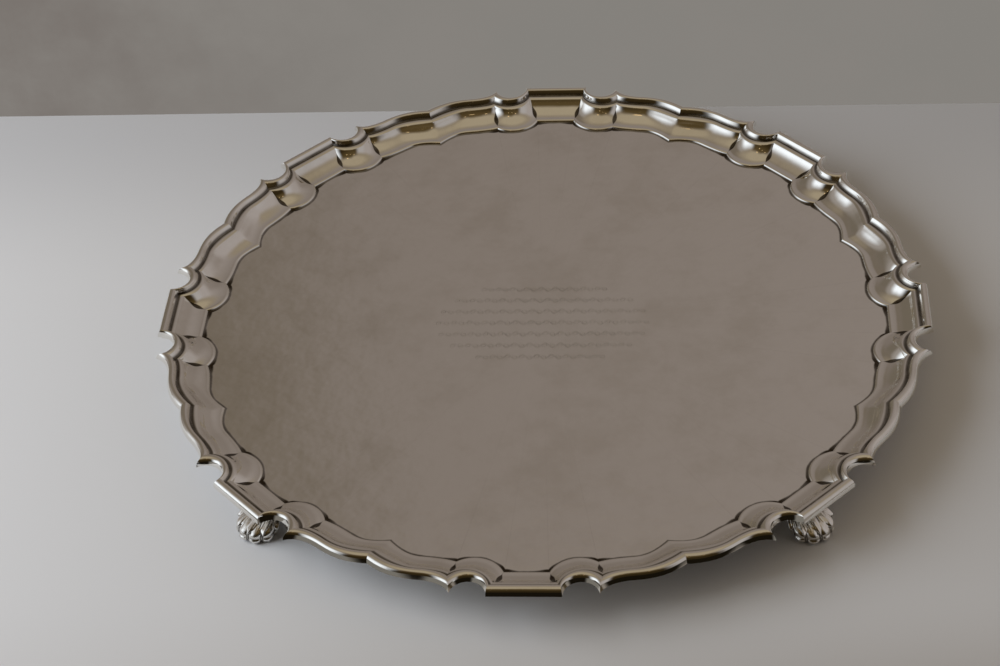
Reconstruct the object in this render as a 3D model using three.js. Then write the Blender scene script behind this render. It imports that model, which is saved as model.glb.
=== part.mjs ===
// Round silver salver with an eight-lobed moulded border, standing on four cast paw feet.
// Millimetres, +Z up. The origin is on the table under the centre of the tray, and the
// middle of the front straight of the border faces -Y.
import * as THREE from 'three';

// ---- driving dimensions ----
const LOBES = 8;
const HALF_LOBE = Math.PI / LOBES;
const SHEET = 1.2; // gauge of the tray sheet
const SOLDER = 0.1; // solder film between soldered pieces
const SEAM = 0.15; // half of the seam between two neighbouring lengths of border
const FOOT_HEIGHT = 14.2; // sole to the top of the foot's leaf
const FIELD_TOP = FOOT_HEIGHT + SOLDER + SHEET; // upper face of the flat field

// Heights above the field.
const MOUNT_SEAT = 6.0; // flat underside of the applied border
const FLANGE_TOP = MOUNT_SEAT - SOLDER;
const STEP_TOP = 0.7; // crisp step where the border meets the field
const STEP_EDGE = 0.5; // lower end of the step's rounded edge

// Insets, measured inwards from the rim edge across a straight of the border.
const FLANGE_EDGE_INSET = 0.4;
const GROOVE_INSET = 5.2;
const CAVETTO_INSET = 8.0;
const STEP_INSET = 17.5;
const STEP_EDGE_INSET = 18.3;
const FIELD_INSET = 18.9;
const FLANGE_UNDER_INSET = 7.4; // where the underside turns down under the lip
const FIELD_UNDER_INSET = 18.6; // where the underside turns level under the field

// Three outlines carry the pattern. Each holds half a lobe, seen from above with the radius
// through the middle of a straight as +Y: the end of the straight, the deepest point of the round
// notch, the thorn, the middle of the ogee, the radius of the valley between two lobes, and the
// handles of the two curves from thorn to middle and from middle to valley.
const OUTLINES = [
  {
    inset: 0,
    straightEnd: [15.6, 177.2],
    notch: [22.9, 169.0],
    thorn: [30.7, 175.4],
    middle: [44.0, 168.0],
    valleyRadius: 171.9,
    handles: [[1.6, -4.2], [-6.5, 0.7], [8.0, -0.9], [-7.4, 6.7]],
  },
  {
    inset: GROOVE_INSET,
    straightEnd: [13.9, 172.0],
    notch: [22.8, 164.0],
    thorn: [31.9, 166.1],
    middle: [44.5, 163.1],
    valleyRadius: 166.0,
    handles: [[2.0, -1.6], [-5.0, 0.4], [6.5, -0.5], [-6.3, 6.0]],
  },
  {
    inset: FIELD_INSET,
    straightEnd: [9.2, 158.3],
    notch: [21.5, 150.1],
    thorn: [29.3, 152.3],
    middle: [44.5, 149.4],
    valleyRadius: 151.9,
    handles: [[5.0, -1.8], [-4.0, 0.5], [5.5, -0.7], [-4.6, 5.4]],
  },
];
const FIELD_MIDDLE = 100; // corner radius of the plain polygon in the middle of the field
const NOTCH_STEPS = 6;
const OGEE_STEPS = 4;
const SHOULDER_STEPS = 3;

// Section of the applied border as [inset, height above the field]: outer face, bead, groove, lip.
const MOUNT_SECTION = [
  [0.0, MOUNT_SEAT],
  [0.15, 8.0],
  [1.0, 9.2],
  [2.4, 9.6],
  [3.7, 9.3],
  [GROOVE_INSET, 7.25],
  [6.6, 7.35],
  [7.7, 6.8],
  [CAVETTO_INSET, MOUNT_SEAT],
];
const CAVETTO_TURN = THREE.MathUtils.degToRad(46); // angle that the cavetto's arc turns through
const CAVETTO_STEPS = 3;

// Paw foot, in level slices from the sole up: [height, distance of the slice's centre from the
// salver's axis, half depth, half width, depth of the clefts between the toes].
const FOOT_SLICES = [
  [0.0, 167.6, 8.2, 8.5, 0.9],
  [1.2, 167.6, 9.0, 9.3, 1.1],
  [4.0, 167.0, 9.0, 9.3, 1.1],
  [7.5, 165.2, 8.1, 8.4, 0.8],
  [9.8, 162.2, 7.3, 6.9, 0.3],
  [11.6, 157.6, 7.8, 5.6, 0.0],
  [12.9, 152.8, 8.8, 6.2, 0.0],
  [13.3, 151.0, 10.0, 7.4, 0.0],
  [FOOT_HEIGHT, 151.0, 10.0, 7.4, 0.0],
];
const TOE_COUNT = 5;
const TOE_PITCH = THREE.MathUtils.degToRad(40);
const FOOT_SIDES = 36;
const FOOT_AZIMUTH = Math.PI / 4;

// ---- finishes ----
const SILVER = { color: 0xc9c4bb, metalness: 1.0, roughness: 0.16 };
const SATIN_SILVER = { color: 0xc4bfb5, metalness: 1.0, roughness: 0.22 };
const CAST_SILVER = { color: 0xbab4a9, metalness: 1.0, roughness: 0.3 };

// ---- outlines of the border ----
const mix = (a, b, t) => a + (b - a) * t;
const mixPoint = (a, b, t) => new THREE.Vector2(mix(a[0], b[0], t), mix(a[1], b[1], t));

// The outline at any inset, by straight blending between the two outlines on either side of it.
function outlineAt(inset) {
  const next = OUTLINES.findIndex((outline, i) => i > 0 && inset <= outline.inset);
  const outer = OUTLINES[next - 1];
  const inner = OUTLINES[next];
  const t = (inset - outer.inset) / (inner.inset - outer.inset);
  const valleyRadius = mix(outer.valleyRadius, inner.valleyRadius, t);
  return {
    straightEnd: mixPoint(outer.straightEnd, inner.straightEnd, t),
    notch: mixPoint(outer.notch, inner.notch, t),
    thorn: mixPoint(outer.thorn, inner.thorn, t),
    middle: mixPoint(outer.middle, inner.middle, t),
    valley: new THREE.Vector2(Math.sin(HALF_LOBE), Math.cos(HALF_LOBE)).multiplyScalar(valleyRadius),
    handles: outer.handles.map((handle, i) => mixPoint(handle, inner.handles[i], t)),
  };
}

// Circular arc from a to c through b, as an EllipseCurve.
function arcThrough(a, b, c) {
  const ab = b.clone().sub(a);
  const ac = c.clone().sub(a);
  const scale = 0.5 / ab.cross(ac);
  const centre = new THREE.Vector2(
    a.x + scale * (ac.y * ab.lengthSq() - ab.y * ac.lengthSq()),
    a.y + scale * (ab.x * ac.lengthSq() - ac.x * ab.lengthSq()),
  );
  const start = a.clone().sub(centre);
  const end = c.clone().sub(centre);
  return new THREE.EllipseCurve(
    centre.x, centre.y, start.length(), start.length(), start.angle(), end.angle(), false);
}

// Half a lobe as points, from the end of the straight to the valley.
function halfLobe(inset) {
  const outline = outlineAt(inset);
  const { straightEnd, notch, thorn, middle, valley, handles } = outline;
  const ogee = new THREE.CubicBezierCurve(
    thorn, thorn.clone().add(handles[0]), middle.clone().add(handles[1]), middle);
  const shoulder = new THREE.CubicBezierCurve(
    middle, middle.clone().add(handles[2]), valley.clone().add(handles[3]), valley);
  return [
    ...arcThrough(straightEnd, notch, thorn).getPoints(NOTCH_STEPS),
    ...ogee.getPoints(OGEE_STEPS).slice(1),
    ...shoulder.getPoints(SHOULDER_STEPS).slice(1),
  ];
}

// A whole lobe, anticlockwise from valley to valley, round the +Y radius.
function wholeLobe(inset) {
  const right = halfLobe(inset);
  const left = right.map((p) => new THREE.Vector2(-p.x, p.y));
  return [...right.reverse(), ...left];
}

function turned(points, angle) {
  return points.map((p) => p.clone().rotateAround(new THREE.Vector2(), angle));
}

// The closed ring of all the lobes at one inset; neighbours share their valley point.
function ring(inset) {
  const lobe = wholeLobe(inset).slice(1);
  return Array.from({ length: LOBES }, (_, i) => turned(lobe, i * 2 * HALF_LOBE)).flat();
}

// ---- meshes from rings of points ----
function meshData() {
  return { positions: [], triangles: [] };
}

function addRing(data, points, height) {
  const first = data.positions.length / 3;
  points.forEach((p) => data.positions.push(p.x, p.y, height));
  return points.map((_, i) => first + i);
}

// Joins two rings; the second lies further along the section, which runs up the outside,
// inwards over the top and back along the underside.
function addBand(data, ringA, ringB, closed) {
  const count = closed ? ringA.length : ringA.length - 1;
  for (let i = 0; i < count; i += 1) {
    const j = (i + 1) % ringA.length;
    data.triangles.push(ringA[i], ringA[j], ringB[j], ringA[i], ringB[j], ringB[i]);
  }
}

// Fills a flat outline, given as its points in the plane and their vertex numbers.
function addCap(data, points, indices, anticlockwise, hole = []) {
  const all = [...points, ...hole];
  THREE.ShapeUtils.triangulateShape(points, hole.length ? [hole] : []).forEach(([a, b, c]) => {
    const turn = all[b].clone().sub(all[a]).cross(all[c].clone().sub(all[a]));
    const keep = turn > 0 === anticlockwise;
    data.triangles.push(indices[a], indices[keep ? b : c], indices[keep ? c : b]);
  });
}

function geometryOf(data) {
  const geometry = new THREE.BufferGeometry();
  geometry.setAttribute('position', new THREE.Float32BufferAttribute(data.positions, 3));
  geometry.setIndex(data.triangles);
  geometry.computeVertexNormals();
  return geometry;
}

function namedMesh(name, geometry, finish) {
  const mesh = new THREE.Mesh(geometry, new THREE.MeshStandardMaterial(finish));
  mesh.name = name;
  return mesh;
}

// ---- tray: one sheet, with a flat field, a step, a cavetto and a flange for the border ----
// Points of the cavetto's arc as [inset, height, slope], from the flange down to the step.
function cavetto() {
  const run = STEP_INSET - CAVETTO_INSET;
  const drop = FLANGE_TOP - STEP_TOP;
  const chordSlope = Math.atan2(drop, run);
  const radius = Math.hypot(run, drop) / 2 / Math.sin(CAVETTO_TURN / 2);
  const endSlope = chordSlope - CAVETTO_TURN / 2;
  return Array.from({ length: CAVETTO_STEPS + 1 }, (_, i) => {
    const slope = endSlope + CAVETTO_TURN * (1 - i / CAVETTO_STEPS);
    return [
      STEP_INSET - radius * (Math.sin(slope) - Math.sin(endSlope)),
      STEP_TOP + radius * (Math.cos(endSlope) - Math.cos(slope)),
      slope,
    ];
  });
}

function trayGeometry() {
  const data = meshData();
  const arc = cavetto();
  const upper = [
    [FLANGE_EDGE_INSET, FLANGE_TOP],
    ...arc,
    [STEP_EDGE_INSET, STEP_EDGE],
    [FIELD_INSET, 0],
  ];
  const lower = [
    [FIELD_UNDER_INSET, -SHEET],
    ...arc.slice(1).reverse().map(([inset, height, slope]) => [
      inset - SHEET * Math.sin(slope), height - SHEET * Math.cos(slope)]),
    [FLANGE_UNDER_INSET, FLANGE_TOP - SHEET],
    [FLANGE_EDGE_INSET, FLANGE_TOP - SHEET],
  ];
  const section = [...upper, ...lower];
  const outlines = section.map(([inset]) => ring(inset));
  const rings = section.map(([, height], i) => addRing(data, outlines[i], FIELD_TOP + height));
  const fieldEdge = upper.length - 1;
  rings.forEach((indices, i) => {
    if (i !== fieldEdge) {
      addBand(data, indices, rings[(i + 1) % rings.length], true);
    }
  });
  addField(data, outlines[fieldEdge], rings[fieldEdge], FIELD_TOP, true);
  addField(data, outlines[fieldEdge + 1], rings[fieldEdge + 1], FIELD_TOP - SHEET, false);
  return geometryOf(data);
}

// One face of the flat field: a plain polygon in the middle and the shaped margin round it.
function addField(data, outline, indices, height, facesUp) {
  const corner = new THREE.Vector2(FIELD_MIDDLE, 0);
  const polygon = Array.from(
    { length: LOBES }, (_, i) => turned([corner], i * 2 * HALF_LOBE)).flat();
  const inner = addRing(data, polygon, height);
  addCap(data, outline, [...indices, ...inner], facesUp, polygon);
  addCap(data, polygon, inner, facesUp);
}

// ---- applied border: one cast length for each lobe, seamed in the valleys ----
// Moves the last point of a lobe back along its last stretch, to the face of the seam.
function cutAtSeam(points, side) {
  const across = new THREE.Vector2(side * Math.cos(HALF_LOBE), -Math.sin(HALF_LOBE));
  const end = points[points.length - 1];
  const before = points[points.length - 2];
  const back = SEAM / (across.dot(end) - across.dot(before));
  return [...points.slice(0, -1), end.clone().lerp(before, back)];
}

function borderGeometry() {
  const data = meshData();
  const outlines = MOUNT_SECTION.map(([inset]) => {
    const fromRight = cutAtSeam(wholeLobe(inset), -1);
    return cutAtSeam(fromRight.reverse(), 1).reverse();
  });
  const rows = MOUNT_SECTION.map(
    ([, height], i) => addRing(data, outlines[i], FIELD_TOP + height));
  rows.forEach((row, i) => addBand(data, row, rows[(i + 1) % rows.length], false));
  const section = MOUNT_SECTION.map(([inset, height]) => new THREE.Vector2(-inset, height));
  const lastPoint = rows[0].length - 1;
  addCap(data, section, rows.map((row) => row[0]), true);
  addCap(data, section, rows.map((row) => row[lastPoint]), false);
  return geometryOf(data);
}

// ---- cast paw foot, pointing along +X from the salver's axis ----
// Share of the cleft's depth at an angle from the foot's own middle line: 0 on a toe, 1 in a cleft.
function cleftShare(angle) {
  const turn = Math.atan2(Math.sin(angle), Math.cos(angle));
  const withinToes = Math.abs(turn) <= TOE_COUNT / 2 * TOE_PITCH;
  return withinToes ? 1 - Math.abs(Math.cos(Math.PI * turn / TOE_PITCH)) : 0;
}

function footSlice(centre, halfDepth, halfWidth, cleft) {
  return Array.from({ length: FOOT_SIDES }, (_, i) => {
    const angle = i * 2 * Math.PI / FOOT_SIDES;
    const inwards = cleft * cleftShare(angle);
    return new THREE.Vector2(
      centre + (halfDepth - inwards) * Math.cos(angle),
      (halfWidth - inwards) * Math.sin(angle),
    );
  });
}

function footGeometry() {
  const data = meshData();
  const outlines = FOOT_SLICES.map(([, ...slice]) => footSlice(...slice));
  const rings = FOOT_SLICES.map(([height], i) => addRing(data, outlines[i], height));
  rings.slice(1).forEach((upper, i) => addBand(data, rings[i], upper, true));
  addCap(data, outlines[0], rings[0], false);
  addCap(data, outlines[outlines.length - 1], rings[rings.length - 1], true);
  return geometryOf(data);
}

// ---- assembly ----
const salver = new THREE.Group();

salver.add(namedMesh('tray_plate', trayGeometry(), SILVER));

const BORDER_PLACES = [
  'back', 'back_left', 'left', 'front_left', 'front', 'front_right', 'right', 'back_right'];
const border = new THREE.Group();
BORDER_PLACES.forEach((place, i) => {
  const length = namedMesh(`border_${place}`, borderGeometry(), SATIN_SILVER);
  length.rotation.z = i * 2 * HALF_LOBE;
  border.add(length);
});
salver.add(border);

const FOOT_PLACES = ['back_right', 'back_left', 'front_left', 'front_right'];
const feet = new THREE.Group();
FOOT_PLACES.forEach((place, i) => {
  const foot = namedMesh(`foot_${place}`, footGeometry(), CAST_SILVER);
  foot.rotation.z = FOOT_AZIMUTH + i * Math.PI / 2;
  feet.add(foot);
});
salver.add(feet);

export default salver;
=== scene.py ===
"""Round silver salver with an eight-lobed moulded border, standing on four cast paw feet.

The shapes are drawn in millimetres round the salver's axis and become metres as each mesh is
made. Sections are given as inset from the rim edge and height above the flat field.
"""
import math

import bpy
import numpy as np
from mathutils import Matrix, Vector


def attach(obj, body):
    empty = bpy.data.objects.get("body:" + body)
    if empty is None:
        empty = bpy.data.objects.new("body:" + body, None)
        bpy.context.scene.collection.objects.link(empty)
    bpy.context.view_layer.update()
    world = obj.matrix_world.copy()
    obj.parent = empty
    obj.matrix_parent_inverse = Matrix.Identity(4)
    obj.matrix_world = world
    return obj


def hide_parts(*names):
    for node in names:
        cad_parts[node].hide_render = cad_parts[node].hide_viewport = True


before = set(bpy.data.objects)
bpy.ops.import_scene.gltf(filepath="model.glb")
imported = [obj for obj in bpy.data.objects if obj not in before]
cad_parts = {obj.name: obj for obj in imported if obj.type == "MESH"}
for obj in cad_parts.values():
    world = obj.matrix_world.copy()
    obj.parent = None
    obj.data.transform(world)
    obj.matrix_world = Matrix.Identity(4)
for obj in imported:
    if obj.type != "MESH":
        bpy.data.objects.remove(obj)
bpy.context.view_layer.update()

# ---- driving dimensions, in millimetres ----
MM = 0.001
LOBES = 8
LOBE_TURN = 2 * math.pi / LOBES
SHEET = 1.2  # gauge of the tray sheet
SOLDER = 0.1  # solder film between soldered pieces
SEAM = 0.02  # half of the seam between two neighbouring lengths of border
FILM = 0.02  # solder that shows under the applied border
FOOT_HEIGHT = 14.2
FIELD_TOP = FOOT_HEIGHT + SOLDER + SHEET

# Heights above the field, and insets from the rim edge.
MOUNT_SEAT = 6.0  # flat underside of the applied border
FLANGE_TOP = MOUNT_SEAT - FILM
FLANGE_EDGE_INSET = 1.6  # the sheet ends just under the applied border
GROOVE_INSET = 5.2
GROOVE_HEIGHT = 6.85
CAVETTO_INSET = 8.0
CAVETTO_END_INSET = 17.7
STEP_TOP = 1.1
FIELD_INSET = 19.3
CAVETTO_TURN = math.radians(54)  # angle that the cavetto's arc turns through

# Four outlines carry the pattern of the border. Each holds half a lobe, seen from above with
# the radius through the middle of a straight as +Y.
OUTLINES = (
    dict(inset=0.0, straight_end=(15.6, 177.2), notch=(22.9, 169.0), thorn=(30.7, 175.4),
         middle=(44.0, 168.0), valley=171.9,
         handles=((1.6, -4.2), (-6.5, 0.7), (8.0, -0.9), (-7.4, 6.7))),
    dict(inset=GROOVE_INSET, straight_end=(13.9, 172.0), notch=(22.8, 164.0), thorn=(31.9, 166.1),
         middle=(44.5, 163.1), valley=166.0,
         handles=((2.0, -1.6), (-5.0, 0.4), (6.5, -0.5), (-6.3, 6.0))),
    dict(inset=9.0, straight_end=(12.6, 168.2), notch=(22.4, 160.1), thorn=(31.1, 163.0),
         middle=(44.5, 159.3), valley=162.1,
         handles=((1.8, -2.0), (-5.0, 0.5), (6.2, -0.8), (-4.2, 1.75))),
    dict(inset=FIELD_INSET, straight_end=(9.2, 157.9), notch=(21.5, 149.7), thorn=(29.3, 151.9),
         middle=(44.5, 149.0), valley=151.5,
         handles=((5.0, -1.8), (-4.0, 0.5), (5.5, -0.7), (-4.6, 5.4))),
)
STRAIGHT_STEPS = 6
NOTCH_STEPS = 28
OGEE_STEPS = 16
SHOULDER_STEPS = 14


# ---- outlines of the border ----
def outline_at(inset):
    """The outline at any inset, by straight blending between the outlines on either side."""
    place = next(
        (i for i in range(1, len(OUTLINES)) if inset <= OUTLINES[i]["inset"]), len(OUTLINES) - 1)
    outer, inner = OUTLINES[place - 1], OUTLINES[place]
    t = (inset - outer["inset"]) / (inner["inset"] - outer["inset"])
    return {
        key: np.array(outer[key], float) * (1 - t) + np.array(inner[key], float) * t
        for key in outer if key != "inset"
    }


def arc_through(a, b, c, steps):
    """Points of the circular arc from a to c through b, without a."""
    ab, ac = b - a, c - a
    scale = 0.5 / (ab[0] * ac[1] - ab[1] * ac[0])
    centre = a + scale * np.array([
        ac[1] * ab.dot(ab) - ab[1] * ac.dot(ac),
        ab[0] * ac.dot(ac) - ac[0] * ab.dot(ab)])
    start, end = a - centre, c - centre
    first = math.atan2(start[1], start[0])
    turn = (math.atan2(end[1], end[0]) - first) % (2 * math.pi)
    angles = first + turn * np.arange(1, steps + 1) / steps
    return centre + np.hypot(*start) * np.stack([np.cos(angles), np.sin(angles)], 1)


def bezier(a, b, c, d, steps):
    """Points of a cubic curve from a to d, without a."""
    t = np.linspace(0, 1, steps + 1)[1:, None]
    return a * (1 - t) ** 3 + 3 * b * t * (1 - t) ** 2 + 3 * c * t * t * (1 - t) + d * t ** 3


def half_lobe(inset):
    """Half a lobe as points, from the middle of the straight to the valley."""
    outline = outline_at(inset)
    end, thorn, middle = outline["straight_end"], outline["thorn"], outline["middle"]
    valley = outline["valley"] * np.array([math.sin(LOBE_TURN / 2), math.cos(LOBE_TURN / 2)])
    handles = outline["handles"]
    straight = np.linspace((0, end[1]), end, STRAIGHT_STEPS + 1)
    return np.concatenate([
        straight,
        arc_through(end, outline["notch"], thorn, NOTCH_STEPS),
        bezier(thorn, thorn + handles[0], middle + handles[1], middle, OGEE_STEPS),
        bezier(middle, middle + handles[2], valley + handles[3], valley, SHOULDER_STEPS),
    ])


HALF_STEPS = STRAIGHT_STEPS + NOTCH_STEPS + OGEE_STEPS + SHOULDER_STEPS
LOBE_STEPS = 2 * HALF_STEPS
# Columns of a lobe, counted from its right valley, where creases run from the rim to the field.
LOBE_CREASES = (
    0,
    HALF_STEPS - STRAIGHT_STEPS - NOTCH_STEPS,
    HALF_STEPS - STRAIGHT_STEPS,
    HALF_STEPS + STRAIGHT_STEPS,
    HALF_STEPS + STRAIGHT_STEPS + NOTCH_STEPS,
    LOBE_STEPS,
)


def whole_lobe(inset):
    """A whole lobe, anticlockwise from valley to valley, round the +Y radius."""
    right = half_lobe(inset)
    return np.concatenate([right[::-1], right[1:] * (-1, 1)])


def turned(points, angle):
    c, s = math.cos(angle), math.sin(angle)
    return points @ np.array([[c, s], [-s, c]])


def ring(inset):
    """The closed ring of all the lobes at one inset; neighbours share their valley point."""
    lobe = whole_lobe(inset)[1:]
    return np.concatenate([turned(lobe, i * LOBE_TURN) for i in range(LOBES)])


def crease_distance(inset):
    """Distance along the outline, in mm, from each point of a whole lobe to its nearest corner."""
    lobe = whole_lobe(inset)
    along = np.concatenate([[0], np.cumsum(np.hypot(*np.diff(lobe, axis=0).T))])
    corners = along[list(LOBE_CREASES[1:-1])]
    return np.abs(along[:, None] - corners[None, :]).min(axis=1)


# ---- meshes ----
def mesh_object(name, vertices, faces, sharp_pairs=(), values=None):
    """A smooth-shaded object from vertices in millimetres. values are float attributes."""
    mesh = bpy.data.meshes.new(name)
    mesh.from_pydata((np.asarray(vertices, float) * MM).tolist(), [], faces)
    mesh.polygons.foreach_set("use_smooth", [True] * len(mesh.polygons))
    sharp = set(sharp_pairs)
    if sharp:
        for edge in mesh.edges:
            edge.use_edge_sharp = tuple(sorted(edge.vertices)) in sharp
    for key, numbers in (values or {}).items():
        layer = mesh.attributes.new(key, "FLOAT", "POINT")
        layer.data.foreach_set("value", np.asarray(numbers, np.float32))
    mesh.validate()
    mesh.update()
    piece = bpy.data.objects.new(name, mesh)
    bpy.context.scene.collection.objects.link(piece)
    return piece


def band_faces(first_row, second_row, closed):
    """Four-sided faces between two rows of vertices."""
    count = len(first_row) if closed else len(first_row) - 1
    return [
        (first_row[i], first_row[(i + 1) % len(first_row)],
         second_row[(i + 1) % len(first_row)], second_row[i])
        for i in range(count)
    ]


def pairs_along(row, closed):
    """Edges along a row, as sorted vertex pairs."""
    ends = row[1:] + (row[:1] if closed else [])
    return [tuple(sorted(pair)) for pair in zip(row, ends)]


def pairs_between(rows, columns):
    """Edges that run from row to row in the given columns, as sorted vertex pairs."""
    return [
        tuple(sorted((upper[c], lower[c])))
        for upper, lower in zip(rows, rows[1:]) for c in columns
    ]


# ---- tray: flat field, step, cavetto and flange, all one sheet ----
CAVETTO_STEPS = 20
STEP_SLOPE = math.radians(58)
STEP_ROUND = 1.25  # radius of the step's rounded edge
STEP_EDGE_POINTS = 9
STEP_FOOT_POINTS = 6
STEP_UNDER = 0.3  # the step's underside lies this far outside the field's edge
FIELD_RINGS = (0.1, 0.3, 0.5, 0.7, 0.9, 0.985, 0.997)  # shrunken field outlines
VALLEY_CREASE_ROWS = 15  # rows up from the field where the valleys are crisp
FAR_FROM_CORNER = 20.0


def downhill(start, slopes, radius):
    """Points of a section's arc that goes inwards and down from start through the slopes."""
    first = slopes[0]
    side = 1 if slopes[-1] > first else -1
    return [
        (start[0] + side * radius * (math.sin(slope) - math.sin(first)),
         start[1] - side * radius * (math.cos(first) - math.cos(slope)))
        for slope in slopes[1:]
    ]


def tray_section():
    """Cavetto and step as (inset, height, slope), from the flange down to the field."""
    run = CAVETTO_END_INSET - CAVETTO_INSET
    drop = FLANGE_TOP - STEP_TOP
    chord = math.atan2(drop, run)
    radius = math.hypot(run, drop) / 2 / math.sin(CAVETTO_TURN / 2)
    hollow = np.linspace(chord + CAVETTO_TURN / 2, chord - CAVETTO_TURN / 2, CAVETTO_STEPS + 1)
    edge = np.linspace(hollow[-1], STEP_SLOPE, STEP_EDGE_POINTS)
    fillet = np.linspace(STEP_SLOPE, 0, STEP_FOOT_POINTS)
    points = [(CAVETTO_INSET, FLANGE_TOP)]
    points += downhill(points[-1], hollow, radius)
    points += downhill(points[-1], edge, STEP_ROUND)
    fillet_radius = points[-1][1] / (1 - math.cos(STEP_SLOPE))
    points += downhill(points[-1], fillet, fillet_radius)
    slopes = np.concatenate([hollow, edge[1:], fillet[1:]])
    return [(inset, height, slope) for (inset, height), slope in zip(points, slopes)]


def make_tray():
    upper = tray_section()
    field_inset = upper[-1][0]
    hollow = upper[:CAVETTO_STEPS + 1]
    flange = [(FLANGE_EDGE_INSET, FLANGE_TOP), (FLANGE_EDGE_INSET, FLANGE_TOP - SHEET)]
    under = [
        (inset - SHEET * math.sin(slope), height - SHEET * math.cos(slope))
        for inset, height, slope in hollow
    ]
    under.append((field_inset - STEP_UNDER, -SHEET))
    section = [(inset, height) for inset, height, _ in reversed(upper)] + flange + under
    rings = [(ring(inset), height, inset) for inset, height in section]
    for share in reversed(FIELD_RINGS):
        inset = field_inset + (1 - share) * OUTLINES[-1]["valley"]
        rings.insert(0, (ring(field_inset) * share, 0.0, inset))
        rings.append((ring(field_inset) * share, -SHEET, inset))
    # The rings above were taken from the edge inwards, so the two ends now close on the axis.
    vertices, insets, creases, rows = [], [], [], []
    for points, height, inset in rings:
        rows.append(list(range(len(vertices), len(vertices) + len(points))))
        vertices.extend((x, y, FIELD_TOP + height) for x, y in points)
        insets.extend([inset] * len(points))
        creases.extend(np.tile(crease_distance(min(inset, field_inset))[1:], LOBES))
    faces = [face for a, b in zip(rows, rows[1:]) for face in band_faces(b, a, True)]
    for row, height, order in ((rows[0], 0.0, 1), (rows[-1], -SHEET, -1)):
        hub = len(vertices)
        vertices.append((0, 0, FIELD_TOP + height))
        insets.append(field_inset + OUTLINES[-1]["valley"])
        creases.append(FAR_FROM_CORNER)
        faces += [(a, b, hub)[::order] for a, b in zip(row, row[1:] + row[:1])]
    sharp_rows = [len(FIELD_RINGS) + len(upper) - 1 + i for i in range(3)]
    corners = [i * LOBE_STEPS + c - 1 for i in range(LOBES) for c in LOBE_CREASES[1:-1]]
    valleys = [i * LOBE_STEPS - 1 for i in range(1, LOBES + 1)]
    first, last = len(FIELD_RINGS), len(rows) - len(FIELD_RINGS)
    sharp = pairs_between(rows[first:last], corners)
    sharp += pairs_between(rows[first:first + VALLEY_CREASE_ROWS], valleys)
    for i in sharp_rows:
        sharp += pairs_along(rows[i], True)
    return mesh_object("tray", vertices, faces, sharp, {"inset": insets, "crease": creases})


# ---- applied border: one cast length for each lobe, seamed in the valleys ----
BEAD_STEPS = 14
BEAD_INNER_STEPS = 8
LIP_STEPS = 10


def mount_section():
    """Section of the border as (inset, height): face, bead, groove, shoulder and flat seat."""
    face = [(0.0, MOUNT_SEAT), (0.0, MOUNT_SEAT + 0.3), (0.05, 6.8), (0.14, 7.25)]
    bead = bezier(*map(np.array, ((0.14, 7.25), (0.38, 8.7), (1.2, 9.6), (2.6, 9.6))), BEAD_STEPS)
    inner = bezier(*map(np.array, (
        (2.6, 9.6), (3.4, 9.6), (3.7, 9.25), (4.0, 8.65))), BEAD_INNER_STEPS)
    groove = np.array([(4.4, 7.8), (4.85, GROOVE_HEIGHT + 0.2), (GROOVE_INSET, GROOVE_HEIGHT)])
    lip = bezier(*map(np.array, (
        (GROOVE_INSET, GROOVE_HEIGHT), (5.9, 6.95), (7.2, 6.9), (7.8, 6.26))), LIP_STEPS)
    return np.concatenate([face, bead, inner, groove, lip, [(CAVETTO_INSET, MOUNT_SEAT)]])


def cut_at_seam(points, side):
    """The last point moves back along its last stretch, to the face of the seam."""
    across = np.array([side * math.cos(LOBE_TURN / 2), -math.sin(LOBE_TURN / 2)])
    end, before = points[-1], points[-2]
    back = SEAM / (across.dot(end) - across.dot(before))
    return np.concatenate([points[:-1], [end + (before - end) * back]])


def make_border(name, turn):
    section = mount_section()
    vertices, insets, rows = [], [], []
    for inset, height in section:
        points = cut_at_seam(whole_lobe(inset), -1)
        points = turned(cut_at_seam(points[::-1], 1)[::-1], turn)
        rows.append(list(range(len(vertices), len(vertices) + len(points))))
        vertices.extend((x, y, FIELD_TOP + height) for x, y in points)
        insets.extend([inset] * len(points))
    loop = rows + rows[:1]
    faces = [face for a, b in zip(loop, loop[1:]) for face in band_faces(a, b, False)]
    faces.append([row[0] for row in rows])
    faces.append([row[-1] for row in reversed(rows)])
    groove_row = int(np.argmin(abs(section[:, 0] - GROOVE_INSET)))
    sharp = []
    for i in (0, groove_row, len(rows) - 1):
        sharp += pairs_along(rows[i], False)
    sharp += pairs_between(loop, LOBE_CREASES)
    for column in (0, -1):
        sharp += pairs_along([row[column] for row in rows], True)
    return mesh_object(name, vertices, faces, sharp, {"inset": insets})


tray = make_tray()
BORDER_PLACES = (
    "back", "back_left", "left", "front_left", "front", "front_right", "right", "back_right")
borders = {
    place: make_border(f"mount_{place}", i * LOBE_TURN) for i, place in enumerate(BORDER_PLACES)
}


# ---- cast feet: outward paws of five toes under the leaf that is soldered to the tray ----
FOOT_LEVELS = 96
FOOT_COLUMNS = 288
TOE_ANGLES = np.radians((-80, -40, 0, 40, 80))
TOE_HALF = math.radians(20)
TUFT_ANGLES = np.radians((-100, -60, -20, 20, 60, 100))
# Height, radius of the centre from the salver's axis, half depth and half width.
FOOT_SLICES = np.array((
    (0.0, 167.6, 7.6, 7.9), (0.5, 167.6, 8.6, 8.9), (1.4, 167.6, 9.2, 9.5), (4.0, 167.5, 9.2, 9.5),
    (6.0, 166.4, 8.9, 9.2), (7.5, 165.2, 8.3, 8.6), (9.8, 162.2, 7.3, 7.0), (11.6, 157.6, 7.6, 5.7),
    (12.9, 152.8, 8.6, 6.2), (13.5, 151.0, 9.8, 7.3), (FOOT_HEIGHT, 151.0, 10.0, 7.4)))


def bump_at(value, centre, width):
    """1 at the centre, falling smoothly to nothing over about twice the width."""
    return np.exp(-((value - centre) / width) ** 2)


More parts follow.
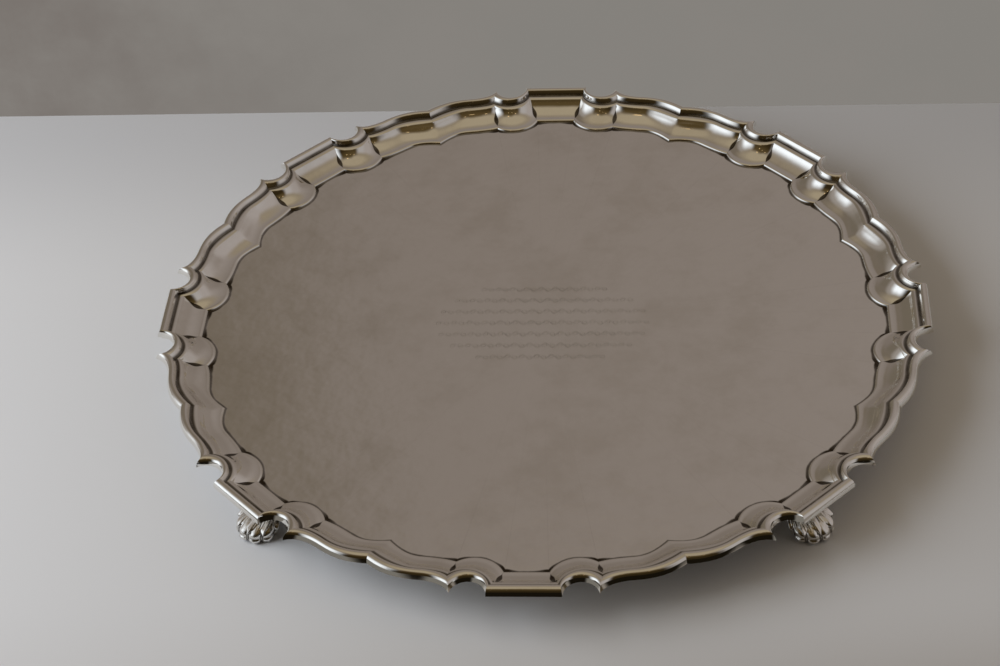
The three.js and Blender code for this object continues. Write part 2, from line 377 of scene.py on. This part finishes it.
def rise(value, low, high):
    """0 below low and 1 above high, smooth between; low may be the larger."""
    t = np.clip((value - low) / (high - low), 0, 1)
    return t * t * (3 - 2 * t)


def foot_relief(angle, height):
    """Relief of the paw in mm and how deep a point lies in a cleft, 0 to 1."""
    toe = TOE_ANGLES[np.argmin(abs(angle[..., None] - TOE_ANGLES), axis=-1)]
    across = (angle - toe) / TOE_HALF
    inside = np.clip(1 - across ** 2, 0, None)
    front = rise(np.degrees(abs(angle)), 118, 98)
    arch_top = 8.8 - 3.8 * np.minimum(abs(across), 1.2) ** 1.4
    toe_share = rise(height, arch_top + 0.5, arch_top - 0.5)
    lobe = 1.55 * np.sqrt(inside) - 1.25
    knuckle = 0.5 * bump_at(height, 5.7, 1.6) - 0.4 * bump_at(height, 3.6, 0.7)
    pad = 0.3 * bump_at(height, 2.4, 0.8) - 1.1 * rise(height, 1.7, 1.0)
    claw = 1.35 * bump_at(height, 0.75, 0.55) * bump_at(across, 0, 0.26)
    toes = toe_share * (lobe + inside * (knuckle + pad) + claw)
    web = 0.75 * bump_at(abs(across), 1, 0.16) * rise(height, 1.2, 4) * rise(height, 10.5, 8)
    tuft_angle = TUFT_ANGLES[np.argmin(abs(angle[..., None] - TUFT_ANGLES), axis=-1)]
    tuft_across = (angle - tuft_angle) / TOE_HALF
    tuft_width = 0.12 + 0.62 * rise(height, 4.8, 8.6)
    tuft = (0.8 * np.sqrt(np.clip(1 - (tuft_across / tuft_width) ** 2, 0, None))
            * rise(height, 4.6, 6.4) * rise(height, 12.4, 10.2))
    hair = 0.1 * np.sin(angle * 54) * rise(height, 6.5, 8) * rise(height, 13, 10.5)
    flutes = 0.16 * np.cos(angle * 16) * rise(height, 9.5, 10.5) * rise(height, 13.2, 12.4)
    relief = front * (toes + web + np.where(toe_share < 1, tuft * (1 - toe_share), 0)) + flutes
    relief = relief + front * hair
    cleft = front * (
        toe_share * rise(abs(across), 0.66, 0.86) * rise(abs(across), 1.02, 0.92)
        + (1 - toe_share) * rise(abs(tuft_across), tuft_width, tuft_width + 0.25)
        * rise(height, 11.5, 9.0))
    waist = front * inside * bump_at(height, 3.6, 0.4) * 0.45
    claw_ring = front * rise(height, 1.7, 1.2) * rise(abs(across), 0.22, 0.42)
    return relief, np.clip(cleft + waist + claw_ring, 0, 1)


def make_foot(name, turn):
    heights = FOOT_HEIGHT * np.linspace(0, 1, FOOT_LEVELS + 1)
    spread = np.linspace(-0.45, 0.45, 7)  # the slices are averaged over this much height
    slices = np.array([
        np.mean([np.interp(heights + step, FOOT_SLICES[:, 0], FOOT_SLICES[:, k])
                 for step in spread], axis=0)
        for k in (1, 2, 3)])
    angles = 2 * math.pi * (np.arange(FOOT_COLUMNS) + 0.5) / FOOT_COLUMNS - math.pi
    angle, height = np.meshgrid(angles, heights)
    relief, cleft = foot_relief(angle, height)
    centre, depth, width = (values[:, None] for values in slices)
    # The angle is measured round the paw from straight outwards.
    reach = 1 / np.sqrt((np.cos(angle) / depth) ** 2 + (np.sin(angle) / width) ** 2) + relief
    outwards = centre + reach * np.cos(angle)
    sideways = reach * np.sin(angle)
    x = outwards * math.cos(turn) - sideways * math.sin(turn)
    y = outwards * math.sin(turn) + sideways * math.cos(turn)
    vertices = np.stack([x, y, height], axis=-1).reshape(-1, 3).tolist()
    rows = [list(range(i * FOOT_COLUMNS, (i + 1) * FOOT_COLUMNS))
            for i in range(FOOT_LEVELS + 1)]
    faces = [face for a, b in zip(rows, rows[1:]) for face in band_faces(a, b, True)]
    clefts = cleft.reshape(-1).tolist()
    for row, level, order in ((rows[0], 0, -1), (rows[-1], -1, 1)):
        hub = len(vertices)
        radius = slices[0][level]
        vertices.append((radius * math.cos(turn), radius * math.sin(turn), heights[level]))
        clefts.append(0.0)
        faces += [(a, b, hub)[::order] for a, b in zip(row, row[1:] + row[:1])]
    sharp = pairs_along(rows[0], True) + pairs_along(rows[-1], True)
    return mesh_object(name, vertices, faces, sharp, {"cleft": clefts})


FOOT_PLACES = ("back_right", "back_left", "front_left", "front_right")
feet = {
    place: make_foot(f"paw_{place}", math.radians(45 + 90 * i))
    for i, place in enumerate(FOOT_PLACES)
}


# ---- engraving: a plain oval of running scrolls, centred on the field ----
SCROLL_ROWS = 7
SCROLL_ROW_PITCH = 8.0
OVAL_HALF_WIDTH = 50.0
OVAL_HALF_HEIGHT = 30.0
SCROLL_PITCH = 7.0
SCROLL_RISE = 2.3
SCROLL_STEPS = 14  # points along one wave of the stem
CURL_STEPS = 22
CUT_HALF_WIDTH = 0.19
CUT_HEIGHT = 0.02  # the burr stands this far above the field
CUT_SINK = 0.02


def scroll_stems(half_length, height):
    """Strokes of one row as polylines: a waving stem with a curl in every bend."""
    waves = round(2 * half_length / SCROLL_PITCH)
    pitch = 2 * half_length / waves
    t = np.linspace(0, 1, waves * SCROLL_STEPS + 1)
    stem = np.stack([
        (2 * t - 1) * half_length,
        height + SCROLL_RISE * 0.75 * np.sin(t * waves * 2 * math.pi)], axis=1)
    strokes = [stem]
    for bend in range(2 * waves):
        side = 1 if bend % 2 else -1
        middle = np.array([-half_length + pitch * (bend + 0.5) / 2, height])
        turn = np.linspace(0, 1, CURL_STEPS)
        radius = SCROLL_RISE * 0.62 * (1 - 0.78 * turn)
        angle = math.pi * (0.5 + 2.6 * turn)
        strokes.append(middle + np.stack([
            radius * np.cos(angle), side * radius * (np.sin(angle) + 0.15)], axis=1))
    return strokes


def make_engraving():
    vertices, faces = [], []
    for row in range(SCROLL_ROWS):
        height = (row - (SCROLL_ROWS - 1) / 2) * SCROLL_ROW_PITCH
        half_length = OVAL_HALF_WIDTH * math.sqrt(1 - (height / OVAL_HALF_HEIGHT) ** 2)
        for stroke in scroll_stems(half_length, height):
            along = np.gradient(stroke, axis=0)
            along /= np.hypot(*along.T)[:, None]
            across = np.stack([-along[:, 1], along[:, 0]], axis=1)
            share = np.linspace(0, math.pi, len(stroke))
            half_width = (CUT_HALF_WIDTH * (0.35 + 0.65 * np.sin(share)))[:, None]
            left, right = stroke + across * half_width, stroke - across * half_width
            first = len(vertices)
            for a, b, c in zip(left, right, stroke):
                vertices.append((*a, FIELD_TOP - CUT_SINK))
                vertices.append((*b, FIELD_TOP - CUT_SINK))
                vertices.append((*c, FIELD_TOP + CUT_HEIGHT))
            rows = [[first + 3 * i + k for k in range(3)] for i in range(len(stroke))]
            for a, b in zip(rows, rows[1:]):
                faces.extend(band_faces(b, a, True))
            faces.append(rows[0])
            faces.append(rows[-1][::-1])
    piece = mesh_object("engraved_scrolls", vertices, faces)
    piece.data.polygons.foreach_set("use_smooth", [False] * len(faces))
    return piece


engraving = make_engraving()


# ---- camera ----
CAMERA_PLACE = Vector((0.064848, -0.814234, 0.712737))
CAMERA_AZIMUTH = math.radians(5.962)
CAMERA_ELEVATION = math.radians(40.673)
CAMERA_ROLL = math.radians(-4.247)
CAMERA_LENS = 83.48


def make_camera():
    azimuth, elevation = CAMERA_AZIMUTH, CAMERA_ELEVATION
    back = Vector((
        math.sin(azimuth) * math.cos(elevation),
        -math.cos(azimuth) * math.cos(elevation),
        math.sin(elevation)))
    level = Vector((math.cos(azimuth), math.sin(azimuth), 0))
    upright = back.cross(level)
    across = math.cos(CAMERA_ROLL) * level + math.sin(CAMERA_ROLL) * upright
    up = math.cos(CAMERA_ROLL) * upright - math.sin(CAMERA_ROLL) * level
    data = bpy.data.cameras.new("camera")
    data.lens = CAMERA_LENS
    data.sensor_width = 36
    camera = bpy.data.objects.new("camera", data)
    camera.matrix_world = (
        Matrix.Translation(CAMERA_PLACE)
        @ Matrix((across, up, back)).transposed().to_4x4())
    bpy.context.scene.collection.objects.link(camera)
    bpy.context.scene.camera = camera


make_camera()


# ---- small helpers for node trees ----
class Nodes:
    """Adds and links nodes; a number, a colour or another node's output may feed any input."""

    def __init__(self, tree):
        self.tree = tree
        tree.nodes.clear()

    def add(self, kind, inputs=(), **settings):
        node = self.tree.nodes.new(kind)
        for key, value in settings.items():
            setattr(node, key, value)
        pairs = inputs.items() if isinstance(inputs, dict) else enumerate(inputs)
        for key, value in pairs:
            if value is None:
                continue
            if isinstance(value, bpy.types.NodeSocket):
                self.tree.links.new(value, node.inputs[key])
            else:
                node.inputs[key].default_value = value
        return node

    def math(self, operation, a, b=None, c=None):
        return self.add("ShaderNodeMath", (a, b, c), operation=operation).outputs[0]

    def ramp(self, value, low, high):
        """0 below low and 1 above high, smooth between; low may be the larger."""
        node = self.add("ShaderNodeMapRange", {
            "Value": value, "From Min": low, "From Max": high}, interpolation_type="SMOOTHSTEP")
        return node.outputs["Result"]

    def mix(self, share, a, b):
        node = self.add("ShaderNodeMix", data_type="RGBA")
        for key, value in ((0, share), (6, a), (7, b)):
            if isinstance(value, bpy.types.NodeSocket):
                self.tree.links.new(value, node.inputs[key])
            else:
                node.inputs[key].default_value = value
        return node.outputs[2]

    def noise(self, place, scale, detail=4.0, roughness=0.5, distortion=0.0):
        return self.add("ShaderNodeTexNoise", {
            "Vector": place, "Scale": scale, "Detail": detail, "Roughness": roughness,
            "Distortion": distortion}).outputs["Fac"]


def shown(red, green, blue):
    """A linear colour from the sRGB values, 0 to 255, that it should show as."""
    return tuple(
        c / 12.92 if c <= 0.04045 else ((c + 0.055) / 1.055) ** 2.4
        for c in (red / 255, green / 255, blue / 255)) + (1.0,)


# ---- the room that the silver reflects ----
# Lamps as azimuth from straight back, elevation and angular radius, all in degrees.
LAMPS = ((-157, 65, 3.0), (172, 52, 1.5), (150, 56, 2.0), (-168, 48, 1.8))
LAMP_GLOW = (1.0, 0.7, 0.36, 1.0)


def make_world():
    """A soft room by direction: a window on the left, a warm ceiling, a dark end."""
    world = bpy.data.worlds.new("room")
    world.use_nodes = True
    bpy.context.scene.world = world
    n = Nodes(world.node_tree)
    direction = n.add("ShaderNodeTexCoord").outputs["Generated"]
    axes = n.add("ShaderNodeSeparateXYZ", (direction,)).outputs
    to_degrees = 180 / math.pi
    azimuth = n.math("MULTIPLY", n.math("ARCTAN2", axes[0], axes[1]), to_degrees)
    elevation = n.math("MULTIPLY", n.math("ARCSINE", axes[2]), to_degrees)
    from_back = n.math("ABSOLUTE", azimuth)

    side = n.ramp(azimuth, -60, 100)
    low_wall = n.mix(side, shown(118, 108, 100), shown(144, 134, 127))
    wall = n.mix(side, shown(124, 114, 106), shown(162, 153, 148))
    wall = n.mix(n.ramp(azimuth, -9, -17), wall, shown(115, 105, 93))
    wall = n.mix(n.ramp(elevation, 22, 42), low_wall, wall)
    corner = n.math("MULTIPLY", n.ramp(azimuth, -18, -32), n.ramp(elevation, 40, 26))
    wall = n.mix(corner, wall, shown(112, 103, 91))
    wall = n.mix(n.ramp(azimuth, 38, 66), wall, shown(163, 155, 151))
    wall = n.mix(n.ramp(azimuth, 80, 104), wall, shown(170, 165, 163))
    wall = n.mix(n.ramp(azimuth, -44, -66), wall, shown(152, 145, 139))
    ceiling = n.mix(n.ramp(elevation, 56, 72), shown(143, 131, 113), shown(163, 150, 127))
    colour = n.mix(n.ramp(elevation, 44, 60), wall, ceiling)

    # The dark end of the room, behind the camera, under the ceiling and darkest low down.
    dark = n.ramp(from_back, 116, 140)
    top = n.math("ADD", 59, n.math("MULTIPLY", n.ramp(from_back, 140, 180), 9))
    under = n.ramp(n.math("SUBTRACT", elevation, top), 10, -10)
    dark_end = n.mix(n.ramp(elevation, 24, 54), shown(47, 37, 20), shown(84, 69, 42))
    colour = n.mix(n.math("MULTIPLY", dark, under), colour, dark_end)
    for lamp_azimuth, lamp_elevation, size in LAMPS:
        toward = Vector((0, math.cos(math.radians(lamp_elevation)),
                         math.sin(math.radians(lamp_elevation))))
        toward.rotate(Matrix.Rotation(-math.radians(lamp_azimuth), 3, "Z"))
        near = n.add("ShaderNodeVectorMath", (direction, toward), operation="DOT_PRODUCT")
        spot = n.ramp(near.outputs["Value"], math.cos(math.radians(size)), 1.0)
        colour = n.mix(spot, colour, LAMP_GLOW)
    # The window.
    window = n.math("MULTIPLY", n.ramp(azimuth, -146, -112), n.ramp(azimuth, -66, -95))
    window = n.math("MULTIPLY", window, n.ramp(elevation, 57, 27))
    window = n.math("MULTIPLY", window, n.ramp(elevation, -14, 2))
    colour = n.mix(window, colour, (1.1, 1.17, 1.25, 1.0))
    # Below the horizon: more pale table on the left, a duller one on the right, dark in front.
    beyond = n.mix(n.ramp(azimuth, -75, -45), shown(122, 119, 113), shown(170, 167, 162))
    beyond = n.mix(n.ramp(azimuth, -20, 30), beyond, shown(124, 115, 104))
    beyond = n.mix(n.ramp(azimuth, 52, 72), beyond, shown(70, 60, 45))
    beyond = n.mix(n.ramp(azimuth, 82, 92), beyond, shown(134, 127, 119))
    front = n.math("MAXIMUM", n.ramp(azimuth, 98, 122), n.ramp(azimuth, -142, -162))
    beyond = n.mix(front, beyond, shown(22, 18, 11))
    colour = n.mix(n.ramp(elevation, 2, -3), colour, beyond)
    background = n.add("ShaderNodeBackground", {"Color": colour})
    n.add("ShaderNodeOutputWorld", {"Surface": background.outputs[0]})


# ---- table and wall ----
TABLE_WHITE = (0.745, 0.74, 0.74, 1.0)
# The two darker whites are painted shade on the table: by the wall, and in front and to the right.
TABLE_WALL_SHADE = (0.60, 0.60, 0.61, 1.0)
TABLE_FRONT_SHADE = (0.52, 0.485, 0.45, 1.0)
TABLE_ROUGHNESS = 0.6
STAGE_REACH = 3
WALL_TOP = 2
TABLE_FRONT = -0.14
TABLE_BACK = 0.192


def plane(name, corners, material):
    mesh = bpy.data.meshes.new(name)
    mesh.from_pydata(corners, [], [(0, 1, 2, 3)])
    mesh.materials.append(material)
    piece = bpy.data.objects.new(name, mesh)
    bpy.context.scene.collection.objects.link(piece)
    return piece


def table_paint(name, colour_at):
    """Matt table paint; colour_at(n, axes) gives its colour, painted shade included, from the
    place's coordinates.
    """
    material = bpy.data.materials.new(name)
    material.use_nodes = True
    n = Nodes(material.node_tree)
    place = n.add("ShaderNodeTexCoord").outputs["Object"]
    axes = n.add("ShaderNodeSeparateXYZ", (place,)).outputs
    shader = n.add("ShaderNodeBsdfPrincipled", {
        "Base Color": colour_at(n, axes), "Roughness": TABLE_ROUGHNESS})
    n.add("ShaderNodeOutputMaterial", {"Surface": shader.outputs[0]})
    return material


def front_shaded_colour(n, axes):
    """Painted shade: a little darker nearer the front and to the right."""
    share = n.math("MULTIPLY", n.ramp(axes[1], TABLE_FRONT - 0.01, -0.24), n.math(
        "MULTIPLY_ADD", n.ramp(axes[0], -0.2, 0.2), 0.75, 0.25))
    return n.mix(share, TABLE_WHITE, TABLE_FRONT_SHADE)


def middle_shaded_colour(n, axes):
    """Painted shade: a little darker towards the wall."""
    return n.mix(n.ramp(axes[1], 0.04, TABLE_BACK), TABLE_WHITE, TABLE_WALL_SHADE)


def back_shaded_colour(n, axes):
    # The whole back stretch is in the painted shade by the wall.
    return TABLE_WALL_SHADE


def wall_paint():
    """Mottled grey that glows evenly as painted light, darker to the left, and is clear from
    behind.
    """
    material = bpy.data.materials.new("wall_painted_light")
    material.use_nodes = True
    n = Nodes(material.node_tree)
    place = n.add("ShaderNodeTexCoord").outputs["Object"]
    mottle = n.noise(place, 14.0, 5.0, 0.6)
    across = n.add("ShaderNodeSeparateXYZ", (place,)).outputs[0]
    grey = n.mix(n.ramp(across, -0.35, 0.0), shown(118, 111, 106), shown(132, 129, 124))
    colour = n.mix(n.ramp(mottle, 0.25, 0.75), grey, shown(134, 130, 125))
    # Painted light: the wall glows instead of being lit.
    face = n.add("ShaderNodeEmission", {"Color": colour})
    back = n.add("ShaderNodeBsdfTransparent")
    side = n.add("ShaderNodeNewGeometry").outputs["Backfacing"]
    both = n.add("ShaderNodeMixShader", (side, face.outputs[0], back.outputs[0]))
    n.add("ShaderNodeOutputMaterial", {"Surface": both.outputs[0]})
    return material


def camera_only(piece):
    """Keeps a stage piece out of the silver's reflections and of the light on the table."""
    piece.visible_glossy = False
    piece.visible_diffuse = False
    piece.visible_transmission = False
    piece.visible_shadow = False


def make_stage():
    """The wall and three stretches of table; only the middle one shows in the silver."""
    stretches = (
        ("table", TABLE_FRONT, TABLE_BACK, middle_shaded_colour),
        ("table_front", -STAGE_REACH, TABLE_FRONT, front_shaded_colour),
        ("table_back", TABLE_BACK, STAGE_REACH, back_shaded_colour),
    )
    for name, near, far, colour_at in stretches:
        piece = plane(name, [
            (-STAGE_REACH, near, 0), (STAGE_REACH, near, 0),
            (STAGE_REACH, far, 0), (-STAGE_REACH, far, 0)], table_paint(name, colour_at))
        if name != "table":
            camera_only(piece)
    camera_only(plane("wall", [
        (-STAGE_REACH, TABLE_BACK, 0), (STAGE_REACH, TABLE_BACK, 0),
        (STAGE_REACH, TABLE_BACK, WALL_TOP), (-STAGE_REACH, TABLE_BACK, WALL_TOP)], wall_paint()))


LIGHT_SIZE = 0.75
LIGHT_POWER = 6.0
LIGHT_COLOUR = (0.90, 0.96, 1.04)
LIGHT_PLACE = Vector((-0.80, -0.16, 0.50))
LIGHT_TARGET = Vector((-0.05, 0.0, 0.0))


def make_lights():
    """A large soft light from the left; the silver sees the world's window instead."""
    data = bpy.data.lights.new("window_light", "AREA")
    data.shape = "RECTANGLE"
    data.size = LIGHT_SIZE
    data.size_y = LIGHT_SIZE
    data.energy = LIGHT_POWER
    data.color = LIGHT_COLOUR
    light = bpy.data.objects.new("window_light", data)
    light.location = LIGHT_PLACE
    aim = LIGHT_TARGET - LIGHT_PLACE
    light.rotation_euler = aim.to_track_quat("-Z", "Y").to_euler()
    light.visible_glossy = False
    bpy.context.scene.collection.objects.link(light)


bpy.context.scene.view_settings.view_transform = "Standard"
make_world()
make_stage()
make_lights()


# ---- silver ----
SILVER = (0.88, 0.862, 0.825, 1.0)
SILVER_DULL = (0.80, 0.775, 0.725, 1.0)
# Tarnish colour, also used on the tray for painted shade.
TARNISH_AND_SHADE = (0.055, 0.041, 0.026, 1.0)


def silver_material(name, tarnish_and_shade_share, smooth, rough, relief):
    """Polished silver; the second argument gives, from n and place, how far each point is darkened
    by tarnish and, on the tray, by painted shade.
    """
    material = bpy.data.materials.new(name)
    material.use_nodes = True
    n = Nodes(material.node_tree)
    place = n.add("ShaderNodeTexCoord").outputs["Object"]
    tarnish_and_shade = tarnish_and_shade_share(n, place)
    cloud = n.noise(place, 34.0, 6.0, 0.62)
    colour = n.mix(n.ramp(cloud, 0.42, 0.74), SILVER, SILVER_DULL)
    # Tarnish darkens the colour, and on the tray painted shade does too.
    colour = n.mix(tarnish_and_shade, colour, TARNISH_AND_SHADE)
    # Hairline scratches from polishing, in two directions.
    scratches = []
    for turn in (0.5, -0.9):
        lines = n.add("ShaderNodeMapping", {
            "Vector": place, "Rotation": (0, 0, turn), "Scale": (1.0, 0.03, 1.0)}).outputs[0]
        scratches.append(n.noise(lines, 2600.0, 2.0, 0.5))
    hairline = n.ramp(n.math("MAXIMUM", *scratches), 0.62, 0.78)
    smudge = n.ramp(n.noise(place, 11.0, 5.0, 0.6, 0.6), 0.55, 0.8)
    roughness = n.math("MULTIPLY_ADD", n.ramp(cloud, 0.3, 0.75), rough - smooth, smooth)
    roughness = n.math("MULTIPLY_ADD", hairline, 0.05, roughness)
    roughness = n.math("MULTIPLY_ADD", smudge, 0.03, roughness)
    roughness = n.math("MULTIPLY_ADD", tarnish_and_shade, 0.22, roughness)
    wave = n.noise(place, 95.0, 2.0, 0.5)
    grain = n.noise(place, 1500.0, 3.0, 0.6)
    height = n.math("MULTIPLY_ADD", grain, 0.02, wave)
    height = n.math("MULTIPLY_ADD", hairline, -0.012, height)
    bump = n.add("ShaderNodeBump", {
        "Height": height, "Strength": relief, "Distance": 0.0004}).outputs[0]
    shader = n.add("ShaderNodeBsdfPrincipled", {
        "Base Color": colour, "Metallic": 1.0, "Roughness": roughness, "Normal": bump})
    n.add("ShaderNodeOutputMaterial", {"Surface": shader.outputs[0]})
    return material


def attribute(n, name):
    return n.add("ShaderNodeAttribute", attribute_name=name).outputs["Fac"]


def sheet_edge_line_and_shade(n, place):
    """Dark round the field's edge, and painted shade half-way up the cavetto's corners."""
    inset, corner = attribute(n, "inset"), attribute(n, "crease")
    patches = n.noise(place, 120.0, 4.0, 0.6)
    # The dark line round the field is wider near the corners and uneven along its length.
    near_corner = n.ramp(corner, 7.0, 0.0)
    spill = n.math("ADD", patches, near_corner)
    past = n.math("SUBTRACT", n.math("SUBTRACT", inset, FIELD_INSET + 0.1), spill)
    field_edge = n.math("MULTIPLY", n.ramp(inset, 18.6, 19.0), n.ramp(past, 0.35, -0.45))
    field_edge = n.math("MULTIPLY", field_edge, n.math("MULTIPLY_ADD", near_corner, 0.25, 0.8))
    # Painted shade: a dark lens half-way up the cavetto beside each corner.
    lens = n.math("MULTIPLY", n.ramp(inset, 8.6, 12.8), n.ramp(inset, 18.0, 13.2))
    lens = n.math("MULTIPLY", lens, 1.4)
    gully_shade = n.ramp(n.math("SUBTRACT", lens, corner), -0.15, 0.35)
    most = n.math("MAXIMUM", field_edge, gully_shade)
    return n.math("MULTIPLY", most, n.math("MULTIPLY_ADD", patches, 0.4, 0.75))


def border_tarnish(n, place):
    """Dark in the groove between the bead and the shoulder."""
    inset = attribute(n, "inset")
    patches = n.noise(place, 120.0, 4.0, 0.6)
    groove = n.math("MULTIPLY", n.ramp(inset, 4.1, 4.75), n.ramp(inset, 6.5, 5.5))
    return n.math("MULTIPLY", groove, n.math("MULTIPLY_ADD", patches, 0.5, 0.6))


def cut_tarnish(n, place):
    """Engraved lines hold a little dark polish, unevenly."""
    return n.math("MULTIPLY_ADD", n.noise(place, 300.0, 3.0, 0.6), 0.9, 0.1)


def casting_tarnish(n, place):
    """Dark in the clefts between toes and tufts."""
    cleft = attribute(n, "cleft")
    patches = n.noise(place, 400.0, 4.0, 0.6)
    speckle = n.math("MULTIPLY", n.ramp(patches, 0.55, 0.75), 0.35)
    return n.math("MINIMUM", 1.0, n.math("MULTIPLY_ADD", cleft, 0.9, speckle))


sheet_silver = silver_material("silver_sheet", sheet_edge_line_and_shade, 0.05, 0.10, 0.35)
border_silver = silver_material("silver_border", border_tarnish, 0.05, 0.10, 0.45)
cast_silver = silver_material("silver_casting", casting_tarnish, 0.14, 0.26, 0.8)
cut_silver = silver_material("silver_cut", cut_tarnish, 0.12, 0.2, 0.3)
tray.data.materials.append(sheet_silver)
engraving.data.materials.append(cut_silver)
for piece in borders.values():
    piece.data.materials.append(border_silver)
for piece in feet.values():
    piece.data.materials.append(cast_silver)

ROOT = "root"
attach(tray, ROOT)
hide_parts("tray_plate")
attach(engraving, ROOT)
for place, piece in borders.items():
    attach(piece, ROOT)
    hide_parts(f"border_{place}")

for place, piece in feet.items():
    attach(piece, ROOT)
    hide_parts(f"foot_{place}")
